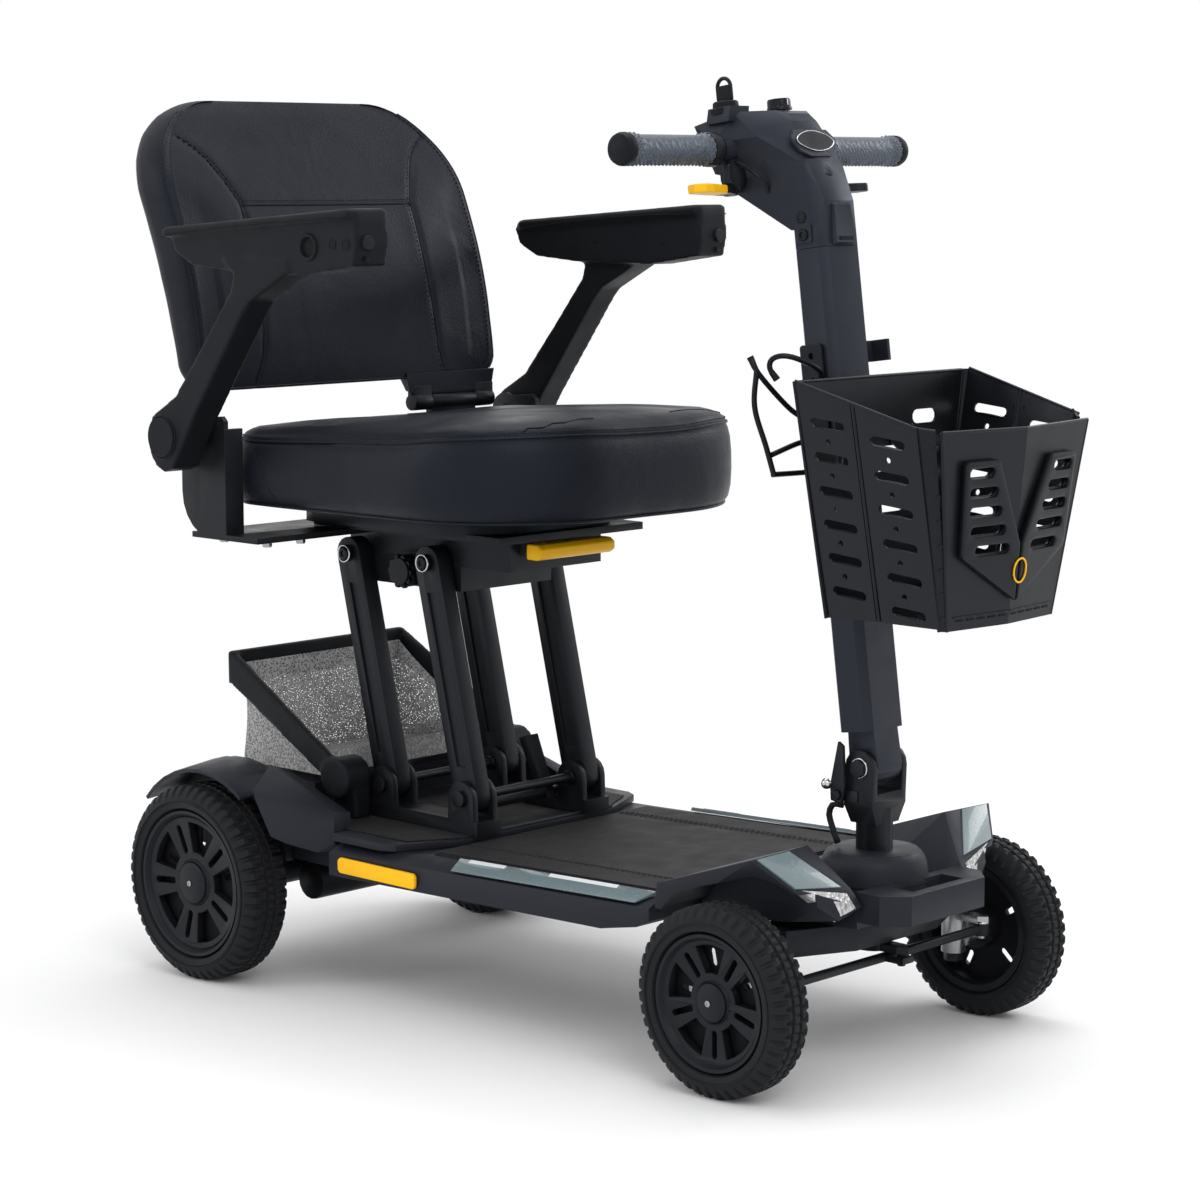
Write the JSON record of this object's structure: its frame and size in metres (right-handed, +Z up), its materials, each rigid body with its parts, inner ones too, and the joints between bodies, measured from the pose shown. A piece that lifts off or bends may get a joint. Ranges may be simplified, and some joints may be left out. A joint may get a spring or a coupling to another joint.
{
  "type": "mobility scooter",
  "caption": "Folding four-wheel travel mobility scooter with padded swing-down seat, armrests, steering tiller and front basket.",
  "frame": {"origin": "on the ground, in the middle of the outer length and width", "axes": "+X forward, +Y to the rider's left, +Z up"},
  "size_m": [1.0175, 0.542, 0.9184],
  "materials": {
    "charcoal": "satin moulded plastic and powder-coated metal",
    "black": "black powder coat",
    "soft_black": "black moulded plastic",
    "rubber": "solid black tyre rubber",
    "rim_black": "black moulded wheel",
    "grip_grey": "grey patterned rubber",
    "yellow": "bright yellow plastic",
    "silver": "silver reflective film",
    "clear": "clear lens",
    "steel": "plain steel",
    "leather": "black leatherette over foam",
    "bag_mesh": "black bag cloth"
  },
  "bodies": {
    "chassis": {"deck_frame": "charcoal", "side_reflector_left": "silver", "side_reflector_right": "silver", "side_grip_left": "yellow", "side_grip_right": "yellow", "rear_deck": "charcoal", "drive_axle": "black", "rear_fender_left": "charcoal", "rear_fender_right": "charcoal", "front_shroud": "charcoal", "fender_reflector_left": "silver", "fender_reflector_right": "silver", "headlight_left": "clear", "headlight_right": "clear", "front_axle_beam": "black", "seat_bracket_left": "black", "seat_bracket_right": "black", "bag_frame": "soft_black", "rear_bag": "bag_mesh"},
    "rear_wheel_left": {"rear_wheel_left_rim": "rim_black", "rear_wheel_left_tyre": "rubber"},
    "rear_wheel_right": {"rear_wheel_right_rim": "rim_black", "rear_wheel_right_tyre": "rubber"},
    "front_wheel_left": {"front_wheel_left_rim": "rim_black", "front_wheel_left_tyre": "rubber"},
    "front_wheel_right": {"front_wheel_right_rim": "rim_black", "front_wheel_right_tyre": "rubber"},
    "knuckle_left": {"steering_knuckle_left": "steel"},
    "knuckle_right": {"steering_knuckle_right": "steel"},
    "tie_rod": {"tie_rod": "black"},
    "stem": {"steering_stem": "black", "harness_loop": "black"},
    "fold_latch": {"fold_latch": "black"},
    "tiller": {"tiller_post": "charcoal", "tiller_console": "charcoal", "grip_left": "grip_grey", "grip_right": "grip_grey", "bottle_cage": "black"},
    "drive_paddle": {"drive_paddle": "yellow"},
    "reverse_paddle": {"reverse_paddle": "black"},
    "ignition_key": {"ignition_key": "black"},
    "speed_dial": {"speed_dial": "black"},
    "basket": {"basket_side_left": "black", "basket_side_right": "black", "basket_rear": "black", "basket_front": "black"},
    "basket_floor": {"basket_floor": "black"},
    "seat_bars_front": {"seat_bars_front": "black"},
    "seat_bars_rear": {"seat_bars_rear": "black"},
    "seat": {"seat_frame": "black", "seat_cushion": "leather", "arm_strap": "black"},
    "seat_release": {"seat_release": "yellow"},
    "backrest": {"seat_back": "leather", "back_bracket": "black"},
    "armrest_left": {"armrest_left": "soft_black"},
    "armrest_right": {"armrest_right": "soft_black"},
    "latch_pedals": {"latch_pedals": "black"}
  },
  "joints": [
    {"name": "steering", "type": "hinge", "parent": "chassis", "child": "stem", "pos_m": [0.33005, 0, 0.17957], "axis": [0.0225, 0, 0.9997], "range_deg": [-28, 28]},
    {"name": "kingpin_left", "type": "hinge", "parent": "chassis", "child": "knuckle_left", "pos_m": [0.311, 0.148, 0.08898], "axis": [0.0225, 0, 0.9997], "range_deg": [-28, 28]},
    {"name": "kingpin_right", "type": "hinge", "parent": "chassis", "child": "knuckle_right", "pos_m": [0.311, -0.148, 0.08898], "axis": [0.0225, 0, 0.9997], "range_deg": [-28, 28]},
    {"name": "tie_rod_end", "type": "hinge", "parent": "knuckle_right", "child": "tie_rod", "pos_m": [0.34522, -0.148, 0.09821], "axis": [0.0225, 0, 0.9997], "range_deg": [-28, 28]},
    {"name": "front_wheel_spin_left", "type": "hinge", "parent": "knuckle_left", "child": "front_wheel_left", "pos_m": [0.311, 0.196, 0.08898], "axis": [0, 1, 0], "continuous": true},
    {"name": "front_wheel_spin_right", "type": "hinge", "parent": "knuckle_right", "child": "front_wheel_right", "pos_m": [0.311, -0.196, 0.08898], "axis": [0, 1, 0], "continuous": true},
    {"name": "rear_wheel_spin_left", "type": "hinge", "parent": "chassis", "child": "rear_wheel_left", "pos_m": [-0.40485, 0.2055, 0.1037], "axis": [0, 1, 0], "continuous": true},
    {"name": "rear_wheel_spin_right", "type": "hinge", "parent": "chassis", "child": "rear_wheel_right", "pos_m": [-0.40485, -0.2055, 0.1037], "axis": [0, 1, 0], "continuous": true},
    {"name": "tiller_fold", "type": "hinge", "parent": "stem", "child": "tiller", "pos_m": [0.3333, 0, 0.27952], "axis": [0, -1, 0], "range_deg": [0, 45.5]},
    {"name": "fold_latch_swing", "type": "hinge", "parent": "stem", "child": "fold_latch", "pos_m": [0.3127, -0.029, 0.25298], "axis": [0, -1, 0], "range_deg": [0, 24]},
    {"name": "drive_paddle_squeeze", "type": "hinge", "parent": "tiller", "child": "drive_paddle", "pos_m": [0.20722, -0.0525, 0.81485], "axis": [-0.1108, 0, 0.9938], "range_deg": [0, 14], "stiffness_Nm_per_rad": 0.4},
    {"name": "reverse_paddle_squeeze", "type": "hinge", "parent": "tiller", "child": "reverse_paddle", "pos_m": [0.20722, 0.0525, 0.81485], "axis": [0.1108, 0, -0.9938], "range_deg": [0, 14], "stiffness_Nm_per_rad": 0.4},
    {"name": "key_turn", "type": "hinge", "parent": "tiller", "child": "ignition_key", "pos_m": [0.19151, -0.042, 0.90165], "axis": [0.1108, 0, -0.9938], "range_deg": [0, 70]},
    {"name": "speed_turn", "type": "hinge", "parent": "tiller", "child": "speed_dial", "pos_m": [0.21868, 0.004, 0.8926], "axis": [0.1108, 0, -0.9938], "range_deg": [0, 270]},
    {"name": "basket_lift_off", "type": "slide", "parent": "tiller", "child": "basket", "axis": [-0.0051, 0, 1], "range_m": [0, 0.04]},
    {"name": "basket_floor_flip", "type": "hinge", "parent": "basket", "child": "basket_floor", "pos_m": [0.47266, 0, 0.42742], "axis": [0, 1, 0], "range_deg": [0, 70]},
    {"name": "seat_fold", "type": "hinge", "parent": "chassis", "child": "seat_bars_rear", "pos_m": [-0.24742, 0, 0.20958], "axis": [0, -1, 0], "range_deg": [0, 35]},
    {"name": "seat_fold_front_bars", "type": "hinge", "parent": "chassis", "child": "seat_bars_front", "pos_m": [-0.12845, 0, 0.2069], "axis": [0, -1, 0], "range_deg": [0, 35]},
    {"name": "seat_stays_level", "type": "hinge", "parent": "seat_bars_rear", "child": "seat", "pos_m": [-0.29907, 0, 0.4478], "axis": [0, -1, 0], "range_deg": [-35, 0]},
    {"name": "seat_release_pull", "type": "hinge", "parent": "seat", "child": "seat_release", "pos_m": [-0.07275, 0, 0.45971], "axis": [0, -1, 0], "range_deg": [0, 10], "stiffness_Nm_per_rad": 2},
    {"name": "backrest_fold", "type": "hinge", "parent": "seat", "child": "backrest", "pos_m": [-0.38381, 0, 0.59375], "axis": [0, 1, 0], "range_deg": [0, 75]},
    {"name": "armrest_lift_left", "type": "hinge", "parent": "seat", "child": "armrest_left", "pos_m": [-0.37617, 0.245, 0.57757], "axis": [0, -1, 0], "range_deg": [0, 70]},
    {"name": "armrest_lift_right", "type": "hinge", "parent": "seat", "child": "armrest_right", "pos_m": [-0.37617, -0.245, 0.57757], "axis": [0, -1, 0], "range_deg": [0, 70]},
    {"name": "pedal_press", "type": "hinge", "parent": "chassis", "child": "latch_pedals", "pos_m": [-0.14881, 0, 0.19135], "axis": [0, 1, 0], "range_deg": [-6, 0], "stiffness_Nm_per_rad": 2}
  ],
  "couplings": [
    {"joint": "kingpin_left", "follows": "steering", "ratio": 1},
    {"joint": "kingpin_right", "follows": "steering", "ratio": 1},
    {"joint": "tiller_fold", "follows": "seat_fold", "ratio": 1.3},
    {"joint": "tie_rod_end", "follows": "steering", "ratio": -1},
    {"joint": "seat_fold_front_bars", "follows": "seat_fold", "ratio": 1},
    {"joint": "seat_stays_level", "follows": "seat_fold", "ratio": -1}
  ]
}
